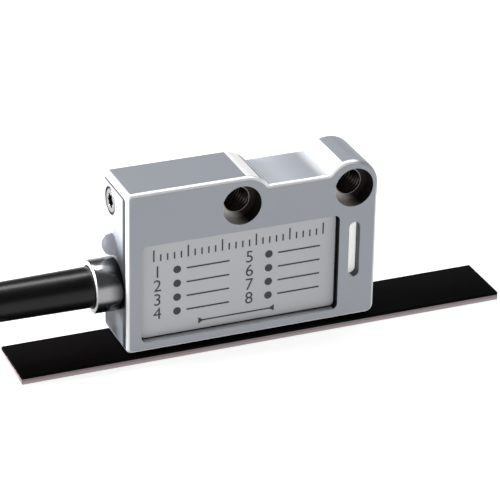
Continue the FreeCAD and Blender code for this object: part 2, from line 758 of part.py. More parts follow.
def make_ties():
    # a strap round each straight side of the hank
    ties = []
    width = "2 * cable_diameter + 2 * fit_gap"
    height = f"{HANK_HEIGHT} - tie_thick + fit_gap"
    for name, side in (("front", -1), ("rear", 1)):
        outside = add_box(f"tie_{name}_outside", "tie_width", f"{width} + 2 * tie_thick",
                          f"{height} + 2 * tie_thick")
        inside = add_box(f"tie_{name}_inside", "2 * tie_width", width, height)
        middle = f"{side} * (fold_radius + cable_diameter / 2)"
        place(outside, f"{HANK_MIDDLE} - tie_width / 2", f"{middle} - ({width}) / 2 - tie_thick", "0")
        place(inside, f"{HANK_MIDDLE} - tie_width", f"{middle} - ({width}) / 2", "tie_thick")
        tie = doc.addObject("Part::Cut", f"tie_{name}")
        tie.Base = outside
        tie.Tool = inside
        ties.append(tie)
    return add_group("hank_ties", ties)


def make_tail():
    # the far end of the cable lies on the inner turns, under the front tie
    tail = doc.addObject("Part::Cylinder", "cable_tail")
    tail.Label = "cable_tail"
    bind(tail, Radius="cable_diameter / 2 - fit_gap / 2", Height="tail_length")
    tail.Placement = FreeCAD.Placement(FreeCAD.Vector(), FreeCAD.Rotation(FreeCAD.Vector(0, 1, 0), 90))
    place(tail, f"{HANK_MIDDLE} - hank_straight / 2", "-fold_radius", TAIL_Z)
    return tail


def make_leads():
    # eight cores fan out of the stripped end, a little above the inner turns
    radius = value("lead_diameter") / 2
    ring = value("cable_diameter") / 2 - 2 * radius
    centre = FreeCAD.Vector(value(f"{HANK_MIDDLE} - hank_straight / 2 + tail_length + lead_diameter / 2"),
                            -value("fold_radius"), value(TAIL_Z))
    far_end = centre.x + value("lead_length")
    first_side = centre.y - value("cable_diameter") / 2 + 2 * radius
    landing = value(f"{STEP_HEIGHT} + lead_lift")
    leads, tips = [], []
    for index, (colour, turn) in enumerate(LEAD_TURNS.items()):
        angle = math.radians(turn)
        start = centre + FreeCAD.Vector(0, math.cos(angle) * ring, math.sin(angle) * ring)
        end = FreeCAD.Vector(far_end, first_side + index * value("lead_splay"), landing)
        run = end - start
        lead = doc.addObject("Part::Feature", f"lead_{colour}")
        lead.Label = f"lead_{colour}"
        lead.Shape = Part.makeCylinder(radius, run.Length, start, run)
        leads.append(lead)
        tips.append(Part.makeCylinder(value("tip_diameter") / 2, value("tip_length"), end, run))
    tip_group = doc.addObject("Part::Feature", "lead_tips")
    tip_group.Label = "lead_tips"
    tip_group.Shape = Part.makeCompound(tips)
    return leads + [tip_group]


def check_objects():
    failed = [thing.Label for thing in doc.Objects if {"Invalid", "Error"} & set(thing.State)]
    if failed:
        raise RuntimeError(f"failed objects: {failed}")


def export(parts):
    os.makedirs("parts", exist_ok=True)
    for part in parts:
        if part.Shape.isNull() or not part.Shape.isValid():
            raise RuntimeError(f"bad shape: {part.Label}")
    for part in parts:
        part.Shape.exportStep(f"parts/{part.Label}.step")
        print(f"{part.Label}: {len(part.Shape.Solids)} solids, {part.Shape.Volume:.2f} mm3")


fill_sheet()
parts = make_strip()
parts.append(make_housing())
parts += make_cover()
parts += [make_inlay(), make_board()]
parts += make_packages()
parts += [make_screw(), make_lamp(), make_lamp_legs()]
parts += [make_ferrule(), make_relief(), make_crimp(), make_cores()]
parts += [make_cable(), make_hank(), make_ties(), make_tail()]
parts += make_leads()
doc.recompute()
check_objects()
export(parts)
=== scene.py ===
import json
import math

import bmesh
import bpy
from mathutils import Matrix, Vector


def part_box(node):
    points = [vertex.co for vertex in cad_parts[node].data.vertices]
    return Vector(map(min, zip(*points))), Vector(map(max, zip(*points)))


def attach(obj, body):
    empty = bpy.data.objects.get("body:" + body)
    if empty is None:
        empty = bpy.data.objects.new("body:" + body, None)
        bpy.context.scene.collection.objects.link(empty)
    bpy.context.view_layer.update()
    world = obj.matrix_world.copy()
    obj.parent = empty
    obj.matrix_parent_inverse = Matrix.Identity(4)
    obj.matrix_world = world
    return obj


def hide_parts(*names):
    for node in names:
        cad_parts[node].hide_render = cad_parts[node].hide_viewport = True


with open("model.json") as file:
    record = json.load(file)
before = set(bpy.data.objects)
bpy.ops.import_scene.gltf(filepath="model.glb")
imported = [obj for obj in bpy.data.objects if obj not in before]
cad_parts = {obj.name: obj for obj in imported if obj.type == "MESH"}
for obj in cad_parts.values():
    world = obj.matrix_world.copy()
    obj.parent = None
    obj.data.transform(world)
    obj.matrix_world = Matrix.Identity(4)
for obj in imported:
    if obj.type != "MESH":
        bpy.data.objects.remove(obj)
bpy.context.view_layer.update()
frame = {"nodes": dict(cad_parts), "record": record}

# Read head of a magnetic linear encoder above its scale strip, in metres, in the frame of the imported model

mm = 0.001
nodes = frame["nodes"]
scene = bpy.context.scene
headLow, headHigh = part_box("housing")
cableLow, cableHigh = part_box("cable")
cableAxis = (cableLow + cableHigh) / 2


# How finely pieces are meshed

meshing = {
    "merge": 0.0005,     # mm between points that become one
    "sharp": 40,         # degrees: steeper edges stay crisp
    "rim": 60,           # degrees: steeper edges are rims, to be rounded
    "alongCurve": 6,
    "roundCurve": 5,
    "roundSpin": 96,
    "roundCorner": 5,
}


# Small tools

def srgb(hexColour):
    channels = [int(hexColour[at:at + 2], 16) / 255 for at in (0, 2, 4)]
    linear = [c / 12.92 if c <= 0.04045 else ((c + 0.055) / 1.055) ** 2.4 for c in channels]
    return (*linear, 1.0)


def perMetre(sizeMm):
    return 1 / (sizeMm * mm)  # a pattern's scale from the real size of its grain


def addNode(material, kind, inputs=None, **settings):
    node = material.node_tree.nodes.new(kind)
    for name, value in settings.items():
        setattr(node, name, value)
    for key, value in (inputs or {}).items():
        if isinstance(value, bpy.types.NodeSocket):
            material.node_tree.links.new(value, node.inputs[key])
        else:
            node.inputs[key].default_value = value
    return node


def finishPiece(piece, material, body, replaced=()):
    piece.data.materials.append(material)
    scene.collection.objects.link(piece)
    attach(piece, body)
    if replaced:
        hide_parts(*replaced)
    return piece


def pieceFromBmesh(bm, name, material, body="read_head", sharp=meshing["sharp"], replaced=()):
    # what meets is merged, faces turn outwards, and edges steeper than the sharp angle stay crisp
    bmesh.ops.remove_doubles(bm, verts=bm.verts, dist=meshing["merge"] * mm)
    bmesh.ops.recalc_face_normals(bm, faces=bm.faces)
    for face in bm.faces:
        face.smooth = True
    for edge in bm.edges:
        edge.smooth = edge.calc_face_angle(0) < math.radians(sharp)
    mesh = bpy.data.meshes.new(name)
    bm.to_mesh(mesh)
    bm.free()
    return finishPiece(bpy.data.objects.new(name, mesh), material, body, replaced)


def curvePiece(name, points, radius, material, replaced=()):
    data = bpy.data.curves.new(name, "CURVE")
    data.dimensions = "3D"
    data.bevel_depth = radius
    data.bevel_resolution = meshing["roundCurve"]
    data.use_fill_caps = True
    data.resolution_u = meshing["alongCurve"]
    spline = data.splines.new("NURBS")
    spline.points.add(len(points) - 1)
    for point, place in zip(spline.points, points):
        point.co = (*place, 1)
    spline.order_u = 3
    spline.use_endpoint_u = True
    return finishPiece(bpy.data.objects.new(name, data), material, "read_head", replaced)


def easedOutline(corners, segments=meshing["roundCorner"]):
    # corners of a closed outline, (along, radius) or (along, radius, rounding), with the rounded ones as arcs
    outline = []
    for index, corner in enumerate(corners):
        if len(corner) == 2:
            outline.append(corner)
            continue
        here = Vector(corner[:2])
        into = (Vector(corners[index - 1][:2]) - here).normalized()
        out = (Vector(corners[(index + 1) % len(corners)][:2]) - here).normalized()
        half = into.angle(out) / 2
        centre = here + (into + out).normalized() * (corner[2] / math.sin(half))
        first = here + into * (corner[2] / math.tan(half)) - centre
        last = here + out * (corner[2] / math.tan(half)) - centre
        turn = first.angle_signed(last)
        outline += [tuple(centre + Matrix.Rotation(-turn * step / segments, 2) @ first)
                    for step in range(segments + 1)]
    return outline


def spinOutline(bm, outline, axisPoint, steps=meshing["roundSpin"]):
    # the outline, in mm along X and out from the axis, turned once round the X axis through axisPoint
    verts = [bm.verts.new(axisPoint + Vector((along, 0, radius)) * mm) for along, radius in outline]
    edges = [bm.edges.new(pair) for pair in zip(verts, verts[1:] + verts[:1])]
    bmesh.ops.spin(bm, geom=verts + edges, cent=axisPoint, axis=(1, 0, 0), angle=2 * math.pi,
                   steps=steps, use_merge=True)


def easedBox(bm, low, high, rounding, segments=2):
    made = bmesh.ops.create_cube(bm, size=1, matrix=Matrix.Translation((low + high) / 2) @ Matrix.Diagonal(
        (*(high - low), 1)))
    edges = {edge for vert in made["verts"] for edge in vert.link_edges}
    bmesh.ops.bevel(bm, geom=list(edges), offset=rounding * mm, segments=segments, profile=0.5,
                    affect="EDGES", material=-1)


# Camera at the photograph's viewing angle

cameraFit = {
    "focalPixels": 2700.0,
    "framePixels": 500.0,
    "sensor": 36.0,
    "yaw": 22.68,
    "pitch": 26.67,
    "roll": -1.12,
    "offset": (-18.18, -15.59, 399.04),  # mm, the head's front lower left corner in the camera's axes
    "nearest": 10.0,                     # mm, where its view sets in
}


def makeCamera():
    yaw, pitch, roll = (math.radians(cameraFit[key]) for key in ("yaw", "pitch", "roll"))
    ahead = Vector((math.sin(yaw) * math.cos(pitch), math.cos(yaw) * math.cos(pitch), -math.sin(pitch)))
    level = Vector((math.cos(yaw), -math.sin(yaw), 0))
    upright = level.cross(ahead)
    right = math.cos(roll) * level - math.sin(roll) * upright
    up = math.sin(roll) * level + math.cos(roll) * upright
    across, rise, depth = (value * mm for value in cameraFit["offset"])
    data = bpy.data.cameras.new("camera")
    data.sensor_width = cameraFit["sensor"]
    data.lens = cameraFit["focalPixels"] / cameraFit["framePixels"] * cameraFit["sensor"]
    data.clip_start = cameraFit["nearest"] * mm
    camera = bpy.data.objects.new("camera", data)
    camera.matrix_world = Matrix.Translation(headLow - across * right - rise * up - depth * ahead) @ Matrix(
        (right, up, -ahead)).transposed().to_4x4()
    scene.collection.objects.link(camera)
    scene.camera = camera


makeCamera()
print("camera placed")


# Materials

noise = {
    "blotch": {"Detail": 3.0, "Roughness": 0.55},
    "grain": {"Detail": 2.0, "Roughness": 0.6},
    "spread": (0.3, 0.7),    # the middle of the grain's range, which the gloss follows
    "strength": 0.3,
}
colourA, colourB, colourOut = 6, 7, 2   # a Mix node's sockets for colours


def startMaterial(name, finish):
    material = bpy.data.materials.new(name)
    material.use_nodes = True
    shader = material.node_tree.nodes["Principled BSDF"]
    for socket, value in finish.items():
        shader.inputs[socket].default_value = value
    place = addNode(material, "ShaderNodeTexCoord").outputs["Object"]
    return material, shader.inputs, place


def grainedSurface(material, shader, place, recipe, zones=()):
    # two close tones in soft blotches, other tones in their zones, and a fine grain in the gloss and relief
    links = material.node_tree.links
    blotch = addNode(material, "ShaderNodeTexNoise", {
        "Vector": place, "Scale": perMetre(recipe["blotch"]), **noise["blotch"]})
    first, second = (srgb(tone) for tone in recipe["tones"])
    tone = addNode(material, "ShaderNodeMix", {
        "Factor": blotch.outputs["Fac"], colourA: first, colourB: second},
        data_type="RGBA").outputs[colourOut]
    for mask, colour in zones:
        tone = addNode(material, "ShaderNodeMix", {"Factor": mask, colourA: tone, colourB: srgb(colour)},
                       data_type="RGBA").outputs[colourOut]
    links.new(tone, shader["Base Color"])
    grain = addNode(material, "ShaderNodeTexNoise", {
        "Vector": place, "Scale": perMetre(recipe["grain"]), **noise["grain"]})
    gloss = addNode(material, "ShaderNodeMapRange", {
        "Value": grain.outputs["Fac"], "From Min": noise["spread"][0], "From Max": noise["spread"][1],
        "To Min": recipe["roughness"][0], "To Max": recipe["roughness"][1]})
    links.new(gloss.outputs["Result"], shader["Roughness"])
    relief = addNode(material, "ShaderNodeBump", {
        "Height": grain.outputs["Fac"], "Strength": recipe.get("strength", noise["strength"]),
        "Distance": recipe["relief"] * mm})
    links.new(relief.outputs["Normal"], shader["Normal"])


def grainedMaterial(name, recipe):
    material, shader, place = startMaterial(name, recipe.get("finish", {}))
    grainedSurface(material, shader, place, recipe)
    return material


finishes = {
    # anodised aluminium sheet, blasted: pale, flat and finely grained, so that laser marks read well
    "coverSheet": {"tones": ("bcbec1", "c3c4c7"), "blotch": 9.0, "grain": 0.09, "relief": 0.01,
                   "roughness": (0.5, 0.62), "finish": {"Metallic": 0.25}},
    # laser-annealed oxide: a flat dark grey with no gloss of its own
    "laserMark": {"tones": ("38393d", "424347"), "blotch": 0.8, "grain": 0.08, "relief": 0.004,
                  "roughness": (0.6, 0.75)},
    # silicone bead: soft black with a dull skin; its black line round the plate also stands for painted shade
    "blackSealant": {"tones": ("0b0b0c", "141415"), "blotch": 1.2, "grain": 0.15, "relief": 0.01,
                     "roughness": (0.6, 0.75)},
    # acetal strip: clean white, faintly waxy, with a painted glow that keeps it bright
    "whiteAcetal": {"tones": ("f4f5f3", "fafaf8"), "blotch": 2.5, "grain": 0.2, "relief": 0.003,
                    "roughness": (0.35, 0.45),
                    "finish": {"Emission Color": (1, 1, 0.98, 1), "Emission Strength": 0.35}},
    # turned stainless steel: bright grey, with fine tool marks
    "turnedSteel": {"tones": ("b4b4b6", "cfcfd1"), "blotch": 0.6, "grain": 0.07, "relief": 0.008,
                    "roughness": (0.2, 0.34), "finish": {"Metallic": 1.0}},
    # aluminium cut by a tap: darkened as painted shade deep in the bore, with glints on the crests
    "cutThread": {"tones": ("35302c", "5e5751"), "blotch": 0.5, "grain": 0.1, "relief": 0.01,
                  "roughness": (0.12, 0.26), "finish": {"Metallic": 1.0}},
    # cut steel inside the screw's socket, darkened as painted shade, with glints
    "shadedSocket": {"tones": ("2b2522", "4a413b"), "blotch": 0.5, "grain": 0.1, "relief": 0.02,
                  "roughness": (0.12, 0.3), "finish": {"Metallic": 0.8}},
    # nickel rim with a painted highlight: pale and less mirror-like
    "lipHighlightNickel": {"tones": ("eaeaec", "f3f3f5"), "blotch": 2.0, "grain": 0.1, "relief": 0.003,
                  "roughness": (0.28, 0.4), "finish": {"Metallic": 0.3}},
    # moulded thermoplastic rubber: deep black with a satin skin
    "mouldedRubber": {"tones": ("060606", "0a0a0a"), "blotch": 4.0, "grain": 0.12, "relief": 0.006,
                      "strength": 0.1, "roughness": (0.27, 0.33), "finish": {"Specular IOR Level": 0.38}},
    # extruded polyurethane jacket: black, with a dull satin skin
    "polyurethaneJacket": {"tones": ("0b0b0c", "121213"), "blotch": 6.0, "grain": 0.2, "relief": 0.005,
                           "roughness": (0.5, 0.6), "finish": {"Specular IOR Level": 0.2}},
    # calendered ferrite rubber: brown-black and even, slightly satin
    "ferriteRubber": {"tones": ("060505", "0b0909"), "blotch": 7.0, "grain": 0.1, "relief": 0.004,
                      "roughness": (0.6, 0.7), "finish": {"Specular IOR Level": 0.02}},
    # slit steel band seen on its edge: warm grey with a cut texture
    "slitSteel": {"tones": ("8a7c7e", "998c8f"), "blotch": 1.6, "grain": 0.06, "relief": 0.01,
                  "roughness": (0.4, 0.55), "finish": {"Metallic": 0.3}},
    # acrylic foam tape: pinkish grey, matte and open
    "foamTape": {"tones": ("a59699", "b3a5a8"), "blotch": 0.9, "grain": 0.12, "relief": 0.02,
                 "roughness": (0.7, 0.85)},
    # waxed paper liner: paler, with a soft sheen
    "waxedLiner": {"tones": ("c4b6b5", "d0c4c2"), "blotch": 2.2, "grain": 0.15, "relief": 0.006,
                   "roughness": (0.45, 0.6)},
    # moulded nylon: black straps with a faint orange-peel
    "mouldedNylon": {"tones": ("101011", "19191a"), "blotch": 2.0, "grain": 0.25, "relief": 0.01,
                     "roughness": (0.35, 0.5)},
    # tinned copper: bright grey, uneven
    "tinnedCopper": {"tones": ("a3a39e", "c4c4bf"), "blotch": 0.5, "grain": 0.12, "relief": 0.01,
                     "roughness": (0.25, 0.4), "finish": {"Metallic": 1.0}},
    # solder mask over glass laminate: dark green, glossy
    "solderMask": {"tones": ("0e3a1f", "144a28"), "blotch": 1.5, "grain": 0.3, "relief": 0.01,
                   "roughness": (0.25, 0.35)},
    # moulded epoxy: charcoal chip packages
    "mouldedEpoxy": {"tones": ("161617", "202021"), "blotch": 0.7, "grain": 0.06, "relief": 0.006,
                     "roughness": (0.5, 0.65)},
    # fired ceramic: tan capacitor bodies
    "firedCeramic": {"tones": ("8f7353", "a5886a"), "blotch": 0.5, "grain": 0.05, "relief": 0.004,
                     "roughness": (0.35, 0.5)},
    # drawn brass: yellow, with bright wear
    "drawnBrass": {"tones": ("b08d45", "c9a861"), "blotch": 1.0, "grain": 0.1, "relief": 0.006,
                   "roughness": (0.22, 0.35), "finish": {"Metallic": 1.0}},
    # natural core insulation inside the head
    "coreSheath": {"tones": ("b9b2a8", "c9c3b9"), "blotch": 1.0, "grain": 0.2, "relief": 0.004,
                   "roughness": (0.35, 0.45)},
}
materials = {name: grainedMaterial(name, recipe) for name, recipe in finishes.items()}

# extruded core insulation, one colour to each lead
sheathTones = {"red": ("a01f1f", "b42a26"), "black": ("111112", "1a1a1b"), "green": ("1f7a38", "2a8c45"),
               "white": ("e4e4df", "f0f0ec"), "yellow": ("d9b023", "e6c23a"), "violet": ("5f3383", "713f96"),
               "blue": ("1f45a3", "2b55b5"), "brown": ("5c351c", "6e4327")}
for colour, tones in sheathTones.items():
    materials[f"{colour}Sheath"] = grainedMaterial(f"{colour}Sheath", {
        "tones": tones, "blotch": 1.5, "grain": 0.2, "relief": 0.004, "roughness": (0.3, 0.42)})


crisp = (0.002, 0.002, 0.002)   # mm, the border of a zone that ends sharply
past = 1.0 * mm                 # how far a zone reaches beyond its piece where it needs no border


def insideBox(material, place, low, high, fade=crisp):
    # 1 inside the box, 0 outside it, easing over fade mm within its border along each axis
    middle, half = (Vector(low) + Vector(high)) / 2, (Vector(high) - Vector(low)) / 2
    offset = addNode(material, "ShaderNodeVectorMath", {0: place, 1: middle}, operation="SUBTRACT").outputs[0]
    reach = addNode(material, "ShaderNodeVectorMath", {0: offset}, operation="ABSOLUTE").outputs[0]
    over = addNode(material, "ShaderNodeVectorMath", {0: reach, 1: half}, operation="SUBTRACT").outputs[0]
    eased = addNode(material, "ShaderNodeVectorMath", {0: over, 1: Vector(fade) * mm},
                    operation="DIVIDE").outputs[0]
    split = addNode(material, "ShaderNodeSeparateXYZ", {"Vector": eased}).outputs
    wide = addNode(material, "ShaderNodeMath", {0: split["X"], 1: split["Y"]}, operation="MAXIMUM").outputs[0]
    most = addNode(material, "ShaderNodeMath", {0: wide, 1: split["Z"]}, operation="MAXIMUM").outputs[0]
    return addNode(material, "ShaderNodeMapRange", {
        "Value": most, "From Min": 0.0, "From Max": -1.0}, interpolation_type="SMOOTHSTEP").outputs["Result"]


def insideBore(material, place, centre, across, radius):
    # 1 within the radius of an axis; across is 1 on the two directions that count, 0 along the axis
    flat = addNode(material, "ShaderNodeVectorMath", {0: place, 1: across}, operation="MULTIPLY").outputs[0]
    middle = [value * keep for value, keep in zip(centre, across)]
    away = addNode(material, "ShaderNodeVectorMath", {0: flat, 1: middle}, operation="DISTANCE")
    return addNode(material, "ShaderNodeMath", {0: away.outputs["Value"], 1: radius},
                   operation="LESS_THAN").outputs[0]


mountingHoles = next(mount for mount in frame["record"]["mounts"] if mount["name"] == "mounting_holes")
holeSpacing = mountingHoles["dims"]["spacing_x_mm"] * mm
holeCentres = [Vector(mountingHoles["pos_m"]) + Vector((side * holeSpacing / 2, 0, 0)) for side in (-1, 1)]

housingFinish = {
    "tones": ("9ea3aa", "a6aab1"),
    "blotch": 14.0,
    "grain": 0.08,              # blasting pits, mm
    "relief": 0.006,
    "roughness": (0.38, 0.48),
    "finish": {"Metallic": 0.45},
    "edgeHighlightTone": "f6f7f9",       # painted highlight along the front edge
    "edgeFrom": (0.01, 0.09),   # mm behind the front face where it sets in
    "edgeTo": (0.45, 0.7),      # and where it ends
    # painted light and shade in boxes, in mm from the head's front lower left corner: two corners, soft
    # border, tone
    "paintedLightAndShade": [
        # left face: painted shade, darker towards its front and foot and round the cable entry
        ((-1.0, -3.0, -9.0), (0.03, 4.8, 16.0), (0.005, 3.0, 8.0), "5a5e65"),
        ((-1.0, -3.0, -12.0), (0.03, 14.0, 8.5), (0.005, 3.0, 6.5), "7b7f88"),
        ((-1.0, -3.0, 4.0), (0.03, 6.5, 19.5), (0.005, 3.0, 5.4), "2d3035"),
        ((-1.0, 2.0, -1.0), (0.03, 14.0, 9.7), (0.005, 4.0, 3.0), "2d3035"),
        # painted dark reflection lines behind its front and top edges, and a painted highlight on the top
        # edge
        ((-1.0, 0.3, -1.0), (0.03, 1.9, 25.2), (0.005, 0.4, 0.3), "303337"),
        ((-1.0, 0.8, 24.8), (0.03, 9.5, 25.28), (0.005, 0.3, 0.12), "2b2d31"),
        ((-1.0, 0.3, 25.28), (0.8, 9.8, 27.0), (0.3, 0.2, 0.02), "f6f7f9"),
        # painted shade: the top face a little darker, and the right boss darker where its painted highlight
        # ends
        ((0.8, 0.7, 25.98), (18.75, 9.9, 26.5), crisp, "94989f"),
        ((30.0, 0.5, 25.3), (36.4, 9.99, 27.0), (2.2, 0.2, 0.05), "858990"),
        # painted light on the shelf between the bosses, lighter towards each; painted highlights on the
        # blends with a fine painted reflection line on each
        ((22.5, 0.5, 24.0), (32.2, 9.99, 24.19), (0.03, 0.03, 0.01), "d0d5de"),
        ((22.5, 0.5, 24.0), (40.0, 9.99, 24.19), (8.0, 0.03, 0.01), "a6abb2"),
        ((29.9, 0.3, 24.05), (33.6, 9.99, 30.0), (1.8, 0.5, 0.03), "dde1e5"),
        ((18.75, 0.5, 24.19), (34.2, 9.99, 25.996), (0.002, 0.2, 0.002), "ffffff"),
        ((20.9, 0.5, 24.2), (21.9, 9.99, 25.9), (0.1, 0.1, 0.01), "8d9198"),
        ((32.2, 0.5, 24.16), (32.8, 9.99, 25.9), (0.25, 0.1, 0.01), "b4b9bb"),
        # front edge of the right boss: the painted edge highlight left off where it turns away
        ((35.6, -1.0, 19.0), (42.0, 1.2, 31.0), (1.6, 0.02, 3.0), "a3a7ae"),
        # painted shade on the recess walls, and painted light on the sill below
        ((2.2, 0.03, 1.66), (33.95, 8.2, 17.5), crisp, "0c0c0d"),
        ((2.2, 0.03, 1.5), (33.95, 8.2, 1.66), crisp, "e0e3e7"),
        # marker slot: painted shade on the right, painted light on the left
        ((35.3, 0.03, 6.5), (36.3, 3.0, 16.0), crisp, "eceded"),
        ((36.3, 0.03, 6.5), (37.4, 3.0, 16.0), crisp, "3f4145"),
    ],
    # holes, painted shade and highlights: radius, from and to in mm behind the front face, tone, and whether
    # it takes the painted reflection on the lower left
    "bores": [
        (3.13, 0.03, 2.38, "272120", True),    # counterbore wall, painted shade
        (3.13, 2.38, 2.5, "2c2623", True),     # its turned floor, painted shade
        (2.1, 2.38, 2.43, "b0a8a2", False),    # painted highlight on the rim of the tapped bore
        # the tapped bore: painted shade, near black
        (2.02, 2.43, 9.9, "050404", False),
    ],
    "counterboreHighlightTone": "e9e4e2",       # painted reflection on the lower left of each counterbore
    "counterboreHighlightFrom": (0.9, 2.6),     # mm from the hole's axis where that sets in and is full
    "sinkShadowTone": "0d0b0a",       # painted shadow in the gap round the side screw
    "sinkRoom": 0.3,            # mm, how far it reaches past the screw's rim
    "sinkFrom": 0.01,           # mm behind the left face
    "sinkTop": 0.5,             # mm left plain under the top
}


def blastedAnodised():
    # aluminium, blasted and clear anodised: soft silver, with painted highlights on its edges and blends, and
    # painted light and shade on its faces, bores and recesses
    recipe = housingFinish
    material, shader, place = startMaterial("blastedAnodised", recipe["finish"])
    split = addNode(material, "ShaderNodeSeparateXYZ", {"Vector": place}).outputs
    zones = []

    # painted highlight along the front edge
    rising = addNode(material, "ShaderNodeMapRange", {
        "Value": split["Y"], "From Min": headLow.y + recipe["edgeFrom"][0] * mm,
        "From Max": headLow.y + recipe["edgeFrom"][1] * mm}, interpolation_type="SMOOTHSTEP")
    falling = addNode(material, "ShaderNodeMapRange", {
        "Value": split["Y"], "From Min": headLow.y + recipe["edgeTo"][0] * mm,
        "From Max": headLow.y + recipe["edgeTo"][1] * mm, "To Min": 1.0, "To Max": 0.0},
        interpolation_type="SMOOTHSTEP")
    edge = addNode(material, "ShaderNodeMath", {
        0: rising.outputs["Result"], 1: falling.outputs["Result"]}, operation="MULTIPLY")
    zones.append((edge.outputs[0], recipe["edgeHighlightTone"]))
    for low, high, fade, tone in recipe["paintedLightAndShade"]:
        patch = insideBox(material, place, headLow + Vector(low) * mm, headLow + Vector(high) * mm, fade)
        zones.append((patch, tone))

    # painted reflection on the lower left of each counterbore, and painted shade and highlight in the bores
    downLeft = Vector((-1, 0, -1)).normalized()
    lean = addNode(material, "ShaderNodeVectorMath", {0: place, 1: downLeft},
                   operation="DOT_PRODUCT").outputs["Value"]
    for hole in holeCentres:
        middle = downLeft.dot(hole)
        lowerLeftHighlight = addNode(material, "ShaderNodeMapRange", {
            "Value": lean, "From Min": middle + recipe["counterboreHighlightFrom"][0] * mm,
            "From Max": middle + recipe["counterboreHighlightFrom"][1] * mm}, interpolation_type="SMOOTHSTEP").outputs[0]
        for radius, start, end, tone, takesHighlight in recipe["bores"]:
            wide = Vector((radius, 0, radius)) * mm
            within = insideBore(material, place, hole, (1, 0, 1), radius * mm)
            deep = insideBox(material, place, Vector((hole.x, headLow.y + start * mm, hole.z)) - wide,
                             Vector((hole.x, headLow.y + end * mm, hole.z)) + wide)
            wall = addNode(material, "ShaderNodeMath", {0: within, 1: deep}, operation="MULTIPLY").outputs[0]
            zones.append((wall, tone))
            if takesHighlight:
                highlighted = addNode(material, "ShaderNodeMath", {0: wall, 1: lowerLeftHighlight}, operation="MULTIPLY")
                zones.append((highlighted.outputs[0], recipe["counterboreHighlightTone"]))

    # painted shadow round the side screw
    low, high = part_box("side_screw")
    reach = (high.z - low.z) / 2 + recipe["sinkRoom"] * mm
    sink = insideBore(material, place, (low + high) / 2, (0, 1, 1), reach)
    side = insideBox(material, place, (headLow.x + recipe["sinkFrom"] * mm, headLow.y + past, low.z - past),
                     (high.x, headHigh.y, headHigh.z - recipe["sinkTop"] * mm))
    shadow = addNode(material, "ShaderNodeMath", {0: sink, 1: side}, operation="MULTIPLY")
    zones.append((shadow.outputs[0], recipe["sinkShadowTone"]))
    grainedSurface(material, shader, place, recipe, zones)
    return material


lensFinish = {
    "tones": ("2e2f34", "36373c"), "blotch": 2.4, "grain": 0.4, "relief": 0.002, "roughness": (0.55, 0.65),
    "finish": {"Specular IOR Level": 0.2, "Subsurface Weight": 0.9, "Subsurface Radius": (1, 1, 1),
               "Subsurface Scale": 1.2 * mm,
               # painted glow: the unlit dome brightened evenly
               "Emission Color": srgb("92959f"), "Emission Strength": 0.75},
    "rimShadeTone": "1c1d20",  # painted shade on the rim where the dome meets the face
    "rimWidth": 0.28,
}


def smokedLens():
    # smoked polycarbonate with a painted glow: an even grey dome, smooth, with painted shade round its foot
    material, shader, place = startMaterial("smokedLens", lensFinish["finish"])
    low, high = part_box("signal_lamp")
    rim = insideBox(material, place, (headLow.x - lensFinish["rimWidth"] * mm, low.y - past, low.z - past),
                    (high.x, high.y + past, high.z + past))
    grainedSurface(material, shader, place, lensFinish, [(rim, lensFinish["rimShadeTone"])])
    return material


ferruleFinish = {
    "tones": ("a2a2a5", "b4b4b7"), "blotch": 3.0, "grain": 0.25, "relief": 0.001, "strength": 0.05,
    "roughness": (0.19, 0.22),
    # painted shade towards the root, by the head's face
    "rootShadeTone": "2e2e31",
    "rootWidth": 2.6,     # mm off the head's face where it sets in
    "rootDepth": 7.8,     # mm into the head, so that its soft border lies outside only
    "finish": {"Metallic": 1.0},
}


def polishedNickel():
    # polished nickel plate over brass: a soft mirror with faint drawing marks, with painted shade towards its
    # root
    material, shader, place = startMaterial("polishedNickel", ferruleFinish["finish"])
    low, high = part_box("cable_ferrule")
    width, depth = ferruleFinish["rootWidth"], ferruleFinish["rootDepth"]
    root = insideBox(material, place, (headLow.x - width * mm, low.y - past, low.z - past),
                     (headLow.x + depth * mm, high.y + past, high.z + past), (width, *crisp[1:]))
    grainedSurface(material, shader, place, ferruleFinish, [(root, ferruleFinish["rootShadeTone"])])
    return material


materials["blastedAnodised"] = blastedAnodised()
materials["polishedNickel"] = polishedNickel()
materials["smokedLens"] = smokedLens()
print("materials made:", len(materials))


# Cable: straight out of the head, then a tied hank

cordSizes = {
    "length": 1.0,
    "foldSteps": 6,
    "lead": 12.0,                 # mm, reach of a change of layer on the front run
    "early": -12.0,               # mm from the hank's middle: where the third turn moves inwards
    "late": 8.0,                  # and where the first two turns drop a layer
    "straight": (-30.0, -46.0),   # mm, stations along the straight run
    "joining": ((-72.0, 1.8), (-82.0, 9.2), (-92.0, 16.6)),  # mm, over the near fold to the rear run
    "joined": -104.0,
}


